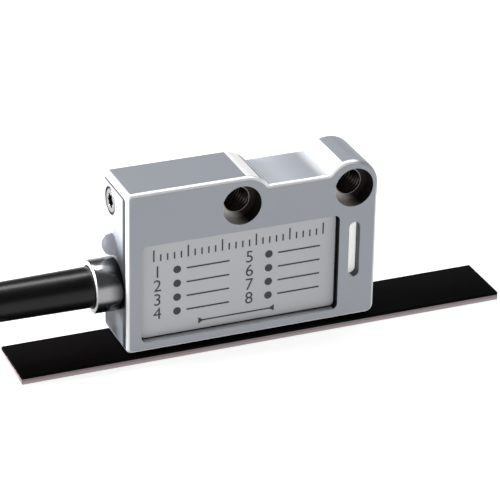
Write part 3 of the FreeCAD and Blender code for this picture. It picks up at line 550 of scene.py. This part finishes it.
def cordRoute():
    low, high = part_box("cable_hank")
    d = cableHigh.z - cableLow.z
    outer = high.y - d / 2
    inner = outer - d
    middleX = (low.x + high.x) / 2
    half = (high.x - low.x) / 2 - outer - d / 2
    bottom, mid, top = (d * (level + 0.5) for level in range(3))
    step = math.pi / cordSizes["foldSteps"]

    def runEnd(side, radius):
        return middleX + side * (half - radius * math.tan(step / 2))

    def fold(side, radius, fromZ, toZ):
        # half a turn round one end: side -1 goes from the rear to the front, +1 back again
        points = []
        for index in range(cordSizes["foldSteps"]):
            share = (index + 0.5) / cordSizes["foldSteps"]
            angle = side * (share - 0.5) * math.pi
            reach = radius / math.cos(step / 2)
            points.append((middleX + side * (half + reach * math.cos(angle)), reach * math.sin(angle),
                           fromZ + (toZ - fromZ) * share))
        return points

    def rearRun(radius, z):
        return [(runEnd(1, radius), radius, z), (middleX, radius, z), (runEnd(-1, radius), radius, z)]

    def frontRun(fromRadius, toRadius, fromZ, toZ, at):
        change, lead = middleX + cordSizes[at] * mm, cordSizes["lead"] * mm / 2
        return [(runEnd(-1, fromRadius), -fromRadius, fromZ), (change - lead, -fromRadius, fromZ),
                (change + lead, -toRadius, toZ), (runEnd(1, toRadius), -toRadius, toZ)]

    route = [(cableHigh.x, cableAxis.y, cableAxis.z)]
    route += [(x * mm, cableAxis.y, cableAxis.z) for x in cordSizes["straight"]]
    route += [(cableLow.x, cableAxis.y, cableAxis.z)]
    route += [(x * mm, y * mm, top) for x, y in cordSizes["joining"]]
    route += [(cordSizes["joined"] * mm, outer, top), (runEnd(-1, outer), outer, top)]
    route += fold(-1, outer, top, top) + frontRun(outer, outer, top, mid, "late") + fold(1, outer, mid, mid)
    route += rearRun(outer, mid) + fold(-1, outer, mid, mid) + frontRun(outer, outer, mid, bottom, "late")
    route += fold(1, outer, bottom, bottom)
    route += rearRun(outer, bottom) + fold(-1, outer, bottom, bottom)
    route += frontRun(outer, inner, bottom, bottom, "early") + fold(1, inner, bottom, bottom)
    route += rearRun(inner, bottom) + fold(-1, inner, bottom, mid) + frontRun(inner, inner, mid, mid, "early")
    route += fold(1, inner, mid, mid)
    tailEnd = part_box("cable_tail")[1].x
    route += rearRun(inner, mid) + fold(-1, inner, mid, top)
    route += [(runEnd(-1, inner), -inner, top), ((runEnd(-1, inner) + tailEnd) / 2, -inner, top),
              (tailEnd, -inner, top)]
    return route, d


# Stripped end: eight cores with tinned tips

leadSizes = {
    "diameter": 0.8,
    "ring": 1.5,      # mm, radius on which the cores leave the jacket
    "gap": 0.4,       # mm between the jacket's end and where a core is first seen
    "short": 0.1,     # mm that a core ends before its tip's root
    "tip": 0.5,
    "tipLength": 3.5,
    "tipRound": 0.08,
    "tipSides": 16,
    "turns": {"red": 180, "black": 225, "green": 135, "white": 270,
              "yellow": 90, "violet": 315, "blue": 45, "brown": 0},
}


def makeLeads(tail):
    leads = []
    bm = bmesh.new()
    for colour, turn in leadSizes["turns"].items():
        low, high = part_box(f"lead_{colour}")
        angle = math.radians(turn)
        start = tail + Vector((0, math.cos(angle), math.sin(angle))) * leadSizes["ring"] * mm
        radius = leadSizes["diameter"] * mm / 2
        leansOut = start.y - (low.y + high.y) / 2
        endY = (low.y if leansOut > 0 else high.y) + math.copysign(radius, leansOut)
        endZ = low.z + radius if start.z > (low.z + high.z) / 2 else high.z - radius
        end = Vector((high.x - leadSizes["short"] * mm, endY, endZ))
        run = end - start
        bow = Vector((run.x, 0, 0)) / 3
        points = [start - bow / 3, start, start + bow, end - run / 3, end]
        leads.append(curvePiece(f"core_{colour}", points, radius, materials[f"{colour}Sheath"],
                                replaced=(f"lead_{colour}",)))
        turned = Vector((0, 0, 1)).rotation_difference(run.normalized()).to_matrix().to_4x4()
        tipRadius, tipLength = leadSizes["tip"] * mm / 2, leadSizes["tipLength"] * mm
        place = Matrix.Translation(end + run.normalized() * tipLength / 2) @ turned
        tip = bmesh.ops.create_cone(bm, cap_ends=True, segments=leadSizes["tipSides"], radius1=tipRadius,
                                    radius2=tipRadius, depth=tipLength, matrix=place)
        rims = {edge for vert in tip["verts"] for edge in vert.link_edges
                if edge.calc_face_angle(0) > math.radians(meshing["rim"])}
        bmesh.ops.bevel(bm, geom=list(rims), offset=leadSizes["tipRound"] * mm, segments=2, profile=0.5,
                        affect="EDGES", material=-1)
    tips = pieceFromBmesh(bm, "core_tips", materials["tinnedCopper"], replaced=("lead_tips",))
    return [*leads, tips]


# Straps round the hank: rounded bands with a clasp on top and the cut end of the band in it

tieSizes = {
    "thick": 0.6,
    "corner": 2.8,
    "cornerSteps": 6,
    "edge": 0.12,
    "clasp": (4.6, 4.2, 2.2),    # mm, along the hank, across and high
    "claspEdge": 0.5,
    "stub": (3.0, 1.4, 0.6),     # cut end: along the hank, how far it stands out, thick
    "stubRise": 0.8,
    "stubEdge": 0.12,
}


def makeTies():
    sizes = tieSizes
    low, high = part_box("hank_ties")
    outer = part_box("cable_hank")[1].y
    width = 2 * (high.y - outer) + 2 * (cableHigh.z - cableLow.z)
    bm = bmesh.new()
    for side in (-1, 1):
        # a block with rounded corners, its ends inset by the band's thickness and joined through
        centreY = side * (high.y - width / 2)
        middle = Vector(((low.x + high.x) / 2, centreY, (low.z + high.z) / 2))
        block = bmesh.ops.create_cube(bm, size=1, matrix=Matrix.Translation(middle) @ Matrix.Diagonal(
            (high.x - low.x, width, high.z - low.z, 1)))
        lengthways = {edge for vert in block["verts"] for edge in vert.link_edges
                      if abs(edge.verts[0].co.x - edge.verts[1].co.x) > mm}
        bmesh.ops.bevel(bm, geom=list(lengthways), offset=sizes["corner"] * mm, segments=sizes["cornerSteps"],
                        profile=0.5, affect="EDGES", material=-1)
        bm.normal_update()
        ends = [face for face in bm.faces
                if abs(face.normal.x) > 0.9 and face.calc_center_median().y * side > 0]
        bmesh.ops.inset_individual(bm, faces=ends, thickness=sizes["thick"] * mm, use_even_offset=True)
        mouths = [edge for face in ends for edge in face.edges]
        bmesh.ops.delete(bm, geom=ends, context="FACES_ONLY")
        bmesh.ops.bridge_loops(bm, edges=mouths)
        bm.normal_update()
        rims = [edge for edge in bm.edges
                if edge.verts[0].co.y * side > 0 and edge.calc_face_angle(0) > math.radians(meshing["rim"])]
        bmesh.ops.bevel(bm, geom=rims, offset=sizes["edge"] * mm, segments=2, profile=0.5,
                        affect="EDGES", material=-1)

        long, across, tall = (value * mm for value in sizes["clasp"])
        top = Vector((middle.x, centreY, high.z))
        easedBox(bm, top - Vector((long / 2, across / 2, sizes["thick"] * mm / 2)),
                 top + Vector((long / 2, across / 2, tall)), sizes["claspEdge"], 3)
        wide, out, thick = (value * mm for value in sizes["stub"])
        rise = sizes["stubRise"] * mm
        easedBox(bm, top + Vector((-wide / 2, -across / 2 - out, rise)),
                 top + Vector((wide / 2, 0, rise + thick)), sizes["stubEdge"], 2)
    return pieceFromBmesh(bm, "hank_straps", materials["mouldedNylon"], replaced=("hank_ties",))


# Cable entry: polished ferrule with a rounded lip, and the moulded bend relief in it

entrySizes = {
    "spigot": (3.7, 3.0),     # mm into the head, and radius
    "bore": 2.35,
    "lipRound": 0.36,
    "lipShare": 0.3,          # share of that rounding that carries the painted highlight
    "mouthRound": 0.18,
    "wall": 0.8,
    "floor": 0.7,
    "rootRound": 0.12,
    "reliefTip": 2.85,
    "reliefRound": 0.4,
}


def makeFerrule():
    low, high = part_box("cable_ferrule")
    axis = Vector((headLow.x, cableAxis.y, cableAxis.z))
    length, rim = (headLow.x - low.x) / mm, (high.z - low.z) / 2 / mm
    reach, spigot = entrySizes["spigot"]
    mouth = rim - entrySizes["wall"]
    bm = bmesh.new()
    spinOutline(bm, easedOutline([
        (reach, entrySizes["bore"]), (reach, spigot), (0, spigot), (0, rim, entrySizes["rootRound"]),
        (-length, rim, entrySizes["lipRound"]), (-length, mouth, entrySizes["mouthRound"]),
        (-entrySizes["floor"], mouth), (-entrySizes["floor"], entrySizes["bore"])]), axis)
    piece = pieceFromBmesh(bm, "nickel_ferrule", materials["polishedNickel"], replaced=("cable_ferrule",))
    # the lip's outer rounding carries the painted highlight
    piece.data.materials.append(materials["lipHighlightNickel"])
    for polygon in piece.data.polygons:
        if polygon.center.x < low.x + entrySizes["lipRound"] * mm * entrySizes["lipShare"]:
            polygon.material_index = 1
    return piece


def makeRelief():
    low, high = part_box("bend_relief")
    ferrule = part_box("cable_ferrule")[0].x
    axis = Vector((headLow.x, cableAxis.y, cableAxis.z))
    root, start = (high.z - low.z) / 2 / mm, (headLow.x - high.x) / mm
    mouth, end = (headLow.x - ferrule) / mm, (headLow.x - low.x) / mm
    bm = bmesh.new()
    spinOutline(bm, easedOutline([
        (-start, entrySizes["bore"]), (-start, root), (-mouth, root),
        (-end, entrySizes["reliefTip"], entrySizes["reliefRound"]), (-end, entrySizes["bore"])]), axis)
    return pieceFromBmesh(bm, "moulded_relief", materials["mouldedRubber"], replaced=("bend_relief",))


makeFerrule()
relief = makeRelief()
straps = makeTies()
tailLow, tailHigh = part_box("cable_tail")
tailMiddle = (tailLow + tailHigh) / 2
cores = makeLeads(Vector((tailHigh.x + leadSizes["gap"] * mm, tailMiddle.y, tailMiddle.z)))
route, cableDiameter = cordRoute()
sensorCable = curvePiece("sensor_cable", route, cableDiameter / 2, materials["polyurethaneJacket"],
                         replaced=("cable", "cable_hank", "cable_tail"))
print("cable laid")


# Side screw: countersunk, with a six-lobed socket

screwSizes = {
    "rim": 1.86,          # mm, a little inside its sink
    "faceDrop": 0.05,
    "chamfer": 0.1,
    "lobes": 6,
    "socket": 0.92,
    "lobe": 0.17,
    "socketEdge": 0.1,
    "socketDepth": 1.2,
    "socketTaper": 0.92,  # share of its width left at the bottom
    "socketShade": 0.04,  # mm below the face where the painted shade sets in
    "shank": 1.25,
    "segments": 72,
}


def makeScrew():
    low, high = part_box("side_screw")
    axis = Vector((headLow.x, (low.y + high.y) / 2, (low.z + high.z) / 2))
    sizes = screwSizes
    bm = bmesh.new()

    def ring(along, radius, lobe=0.0):
        made = bmesh.ops.create_circle(bm, cap_ends=False, segments=sizes["segments"], radius=radius * mm,
                                       matrix=Matrix.Translation(axis + Vector((along, 0, 0)) * mm)
                                       @ Matrix.Rotation(math.pi / 2, 4, "Y"))
        for vert in made["verts"]:
            out = vert.co - axis
            angle = math.atan2(out.z, out.y)
            share = 1 + lobe / radius * math.cos(sizes["lobes"] * angle)
            vert.co = axis + Vector((out.x, out.y * share, out.z * share))
        return list({edge for vert in made["verts"] for edge in vert.link_edges})

    drop, chamfer, rim, shank = sizes["faceDrop"], sizes["chamfer"], sizes["rim"], sizes["shank"]
    socket, socketEdge, lobe = sizes["socket"], sizes["socketEdge"], sizes["lobe"]
    loops = [ring((high.x - headLow.x) / mm, shank), ring(rim - shank + drop, shank),
             ring(drop + chamfer, rim), ring(drop, rim - chamfer),
             ring(drop, socket + socketEdge, lobe), ring(drop + socketEdge, socket, lobe),
             ring(drop + sizes["socketDepth"], socket * sizes["socketTaper"], lobe)]
    for first, second in zip(loops, loops[1:]):
        bmesh.ops.bridge_loops(bm, edges=first + second)
    for end in (loops[0], loops[-1]):
        bmesh.ops.contextual_create(bm, geom=end)
    piece = pieceFromBmesh(bm, "countersunk_screw", materials["turnedSteel"], sharp=30,
                           replaced=("side_screw",))
    # painted shade inside the socket
    piece.data.materials.append(materials["shadedSocket"])
    for polygon in piece.data.polygons:
        out = polygon.center - axis
        isInside = math.hypot(out.y, out.z) < (socket + lobe) * mm
        if isInside and out.x > (drop + sizes["socketShade"]) * mm:
            polygon.material_index = 1
    return piece


# Signal lamp: a dome with a fine collar, its stem in the head

lampSizes = {
    "collar": 0.16,       # mm, how far the collar stands off the face
    "collarRound": 0.07,
    "collarStep": 0.08,   # mm, how far the collar stands out past the dome
    "stemStep": 0.2,      # mm, how much thinner the stem is
    "steps": 14,
    "sides": 64,
}


def makeLamp():
    low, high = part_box("signal_lamp")
    axis = Vector((headLow.x, (low.y + high.y) / 2, (low.z + high.z) / 2))
    dome, stem = (headLow.x - low.x) / mm, (high.x - headLow.x) / mm
    shank = dome - lampSizes["stemStep"]
    collar = lampSizes["collar"]
    inner = dome - lampSizes["collarStep"]
    turns = [math.pi / 2 * step / lampSizes["steps"] for step in range(lampSizes["steps"] + 1)]
    arc = [(-collar - (dome - collar) * math.sin(turn), inner * math.cos(turn)) for turn in turns]
    rounded = easedOutline([(0, shank), (0, dome), (-collar, dome, lampSizes["collarRound"]), arc[0]])[1:-1]
    bm = bmesh.new()
    spinOutline(bm, [(stem, 0), (stem, shank), (0, shank)] + rounded + arc, axis, lampSizes["sides"])
    return pieceFromBmesh(bm, "lamp_lens", materials["smokedLens"], sharp=35, replaced=("signal_lamp",))


# Threads in the two bores

threadSizes = {
    "pitch": 0.7,
    "height": 0.17,
    "start": 2.6,     # mm behind the front face
    "end": 9.4,
    "steps": 28,      # to a turn
    # corners of the ridge: share of the pitch along it, and share of its height
    "section": ((0, 0), (0.2, 1), (0.32, 1), (0.52, 0)),
}


def makeThreads():
    bm = bmesh.new()
    radius = mountingHoles["dims"]["hole_r_mm"] * mm
    pitch, height = threadSizes["pitch"] * mm, threadSizes["height"] * mm
    turns = (threadSizes["end"] - threadSizes["start"]) / threadSizes["pitch"]
    for hole in holeCentres:
        axis = Vector((hole.x, headLow.y + threadSizes["start"] * mm, hole.z))
        verts = [bm.verts.new(axis + Vector((0, along * pitch, radius - rise * height)))
                 for along, rise in threadSizes["section"]]
        edges = [bm.edges.new(pair) for pair in zip(verts, verts[1:] + verts[:1])]
        steps = round(turns * threadSizes["steps"])
        ridge = bmesh.ops.spin(bm, geom=verts + edges, cent=axis, axis=(0, 1, 0), angle=2 * math.pi * turns,
                               dvec=(0, pitch * turns / steps, 0), steps=steps, use_merge=False)
        lastEdges = [item for item in ridge["geom_last"] if isinstance(item, bmesh.types.BMEdge)]
        for end in (edges, lastEdges):
            bmesh.ops.contextual_create(bm, geom=end)
    return pieceFromBmesh(bm, "bore_threads", materials["cutThread"], sharp=25)


# Laser marks on the cover: a tick scale, numbered cores and the measuring direction

markSizes = {
    "proud": 0.012,       # mm that a mark stands off the plate
    "ticks": 26,
    "tickPitch": 1.08,
    "tickWidth": 0.24,
    "tickTall": (1.1, 1.9),
    "longTick": 5,        # every fifth is a tall one
    "scaleZ": 13.3,       # mm above the plate's lower edge
    "rows": (10.5, 8.2, 5.9, 3.6),
    "columns": (2.6, 17.2),
    "numeral": 2.75,
    "dot": (3.1, 0.62),   # mm right of the numeral, and radius
    "dotSides": 24,
    "dash": (4.6, 6.8, 0.26),           # mm right of the numeral, length and thickness
    "arrow": (9.4, 21.0, 1.35, 0.62),   # from, to, height on the plate, and radius of a head
}


def makeMarks():
    low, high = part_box("cover_plate")
    sizes = markSizes
    proud = sizes["proud"] * mm
    bm = bmesh.new()

    def onPlate(x, z):
        return Vector((low.x + x * mm, low.y, low.z + z * mm))

    def bar(x, z, width, height):
        bmesh.ops.create_cube(bm, size=1, matrix=Matrix.Translation(onPlate(x, z)) @ Matrix.Diagonal(
            (width * mm, 2 * proud, height * mm, 1)))

    def numeral(text, x, z):
        data = bpy.data.curves.new("numeral", "FONT")
        data.body, data.size, data.extrude = text, sizes["numeral"] * mm, proud
        data.align_x, data.align_y = "CENTER", "CENTER"
        writing = bpy.data.objects.new("numeral", data)
        scene.collection.objects.link(writing)
        flat = bpy.data.meshes.new_from_object(writing.evaluated_get(bpy.context.evaluated_depsgraph_get()))
        flat.transform(Matrix.Translation(onPlate(x, z)) @ Matrix.Rotation(math.pi / 2, 4, "X"))
        bm.from_mesh(flat)
        bpy.data.objects.remove(writing)
        bpy.data.curves.remove(data)
        bpy.data.meshes.remove(flat)

    def disc(x, z, radius, segments, turn=0.0):
        bmesh.ops.create_cone(bm, cap_ends=True, segments=segments, radius1=radius * mm, radius2=radius * mm,
                              depth=2 * proud, matrix=Matrix.Translation(onPlate(x, z))
                              @ Matrix.Rotation(turn, 4, "Y") @ Matrix.Rotation(math.pi / 2, 4, "X"))

    plateWidth = (high.x - low.x) / mm
    first = (plateWidth - (sizes["ticks"] - 1) * sizes["tickPitch"]) / 2
    for index in range(sizes["ticks"]):
        tall = sizes["tickTall"][index % sizes["longTick"] == 0]
        bar(first + index * sizes["tickPitch"], sizes["scaleZ"] + tall / 2 - sizes["tickTall"][1] / 2,
            sizes["tickWidth"], tall)
    for column, left in enumerate(sizes["columns"]):
        for row, z in enumerate(sizes["rows"]):
            numeral(str(1 + row + column * len(sizes["rows"])), left, z)
            disc(left + sizes["dot"][0], z, sizes["dot"][1], sizes["dotSides"])
            start, long, thick = sizes["dash"]
            bar(left + start + long / 2, z, long, thick)
    left, right, z, head = sizes["arrow"]
    bar((left + right) / 2, z, right - left - head, sizes["tickWidth"])
    disc(left, z, head, 3, math.pi / 2)
    disc(right, z, head, 3, -math.pi / 2)
    return pieceFromBmesh(bm, "cover_marks", materials["laserMark"])


makeScrew()
makeLamp()
makeThreads()
makeMarks()
print("head dressed")


# Scale strip: four layers with eased edges

# piece, finish, slot, and rounding of its edges in mm
stripLayers = {
    "release_liner": ("liner_sheet", "waxedLiner", "liner_paper", 0.03),
    "adhesive_layer": ("foam_layer", "foamTape", "adhesive_grey", 0.05),
    "carrier_band": ("steel_band", "slitSteel", "carrier_steel", 0.03),
    "magnetic_layer": ("magnet_band", "ferriteRubber", "magnet_black", 0.09),
}
for node, (name, finish, slot, rounding) in stripLayers.items():
    bm = bmesh.new()
    easedBox(bm, *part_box(node), rounding, segments=3)
    pieceFromBmesh(bm, name, materials[finish], "scale_strip", replaced=(node,))


# Finishes of the nodes that keep their own shape

nodeFinishes = {
    "housing": "blastedAnodised", "cover_plate": "coverSheet", "cover_seal": "blackSealant",
    "marker_inlay": "whiteAcetal", "circuit_board": "solderMask", "interpolator_chip": "mouldedEpoxy",
    "line_driver_chip": "mouldedEpoxy", "voltage_regulator": "mouldedEpoxy", "field_sensors": "mouldedEpoxy",
    "capacitors": "firedCeramic", "resistors": "mouldedEpoxy", "lamp_legs": "tinnedCopper",
    "crimp_ring": "drawnBrass", "inner_cores": "coreSheath",
}
for node, finish in nodeFinishes.items():
    nodes[node].data.materials.clear()
    nodes[node].data.materials.append(materials[finish])
print("strip and nodes finished")


# Floor and light

studio = {
    "floorSize": 4.0,
    # painted board, lit so evenly that it looks white
    "floorFinish": {"tones": ("aaaaaa", "aaaaaa"), "blotch": 40.0, "grain": 2.0, "relief": 0.01,
                    "roughness": (0.7, 0.8),
                    "finish": {"Emission Color": (1, 1, 1, 1), "Emission Strength": 0.8}},
    "sky": (0.02, 0.9, 0.1),     # below, at the horizon and overhead
    "skyHeights": (-0.85, -0.65, 0.05, 0.4),
    # direction from the head; distance, width and height in metres; watts; whether the cable is flagged off
    "panels": {
        "leftPanel": ((-0.90, 0.34, 0.22), 0.45, 0.22, 0.22, 6.7, True),
        "overheadPanel": ((0.20, 0.26, 0.94), 0.6, 0.8, 0.126, 3.6, False),
    },
}


def makeFloor():
    bm = bmesh.new()
    bmesh.ops.create_grid(bm, x_segments=1, y_segments=1, size=studio["floorSize"] / 2)
    mesh = bpy.data.meshes.new("floor")
    bm.to_mesh(mesh)
    bm.free()
    floor = bpy.data.objects.new("floor", mesh)
    floor.visible_glossy = False
    scene.collection.objects.link(floor)
    mesh.materials.append(grainedMaterial("paleFloor", studio["floorFinish"]))


def makeLights():
    world = bpy.data.worlds.new("studio")
    world.use_nodes = True
    sky = world.node_tree.nodes["Background"].inputs
    sky["Color"].default_value = (1, 1, 1, 1)
    toward = addNode(world, "ShaderNodeTexCoord").outputs["Generated"]
    upward = addNode(world, "ShaderNodeSeparateXYZ", {"Vector": toward}).outputs["Z"]
    below, level, above = studio["sky"]
    rise = addNode(world, "ShaderNodeMapRange", {
        "Value": upward, "From Min": studio["skyHeights"][0], "From Max": studio["skyHeights"][1],
        "To Min": below / level, "To Max": 1.0}, interpolation_type="SMOOTHSTEP").outputs["Result"]
    fall = addNode(world, "ShaderNodeMapRange", {
        "Value": upward, "From Min": studio["skyHeights"][2], "From Max": studio["skyHeights"][3],
        "To Min": level, "To Max": above}, interpolation_type="SMOOTHSTEP").outputs["Result"]
    glow = addNode(world, "ShaderNodeMath", {0: rise, 1: fall}, operation="MULTIPLY")
    world.node_tree.links.new(glow.outputs[0], sky["Strength"])
    scene.world = world
    target = (headLow + headHigh) / 2
    # a flag keeps a panel's glare off the cable and its straps
    flag = bpy.data.collections.new("flaggedCable")
    for index, piece in enumerate((sensorCable, straps)):
        flag.objects.link(piece)
        flag.collection_objects[index].light_linking.link_state = "EXCLUDE"
    for name, (direction, distance, width, height, watts, isFlagged) in studio["panels"].items():
        data = bpy.data.lights.new(name, "AREA")
        data.shape = "RECTANGLE"
        data.size, data.size_y, data.energy = width, height, watts
        panel = bpy.data.objects.new(name, data)
        away = Vector(direction).normalized()
        panel.matrix_world = Matrix.Translation(target + away * distance) @ (
            away.to_track_quat("Z", "Y").to_matrix().to_4x4())
        panel.visible_camera = False
        if isFlagged:
            panel.light_linking.receiver_collection = flag
        scene.collection.objects.link(panel)


makeFloor()
makeLights()
scene.view_settings.view_transform = "Standard"
print("studio ready")
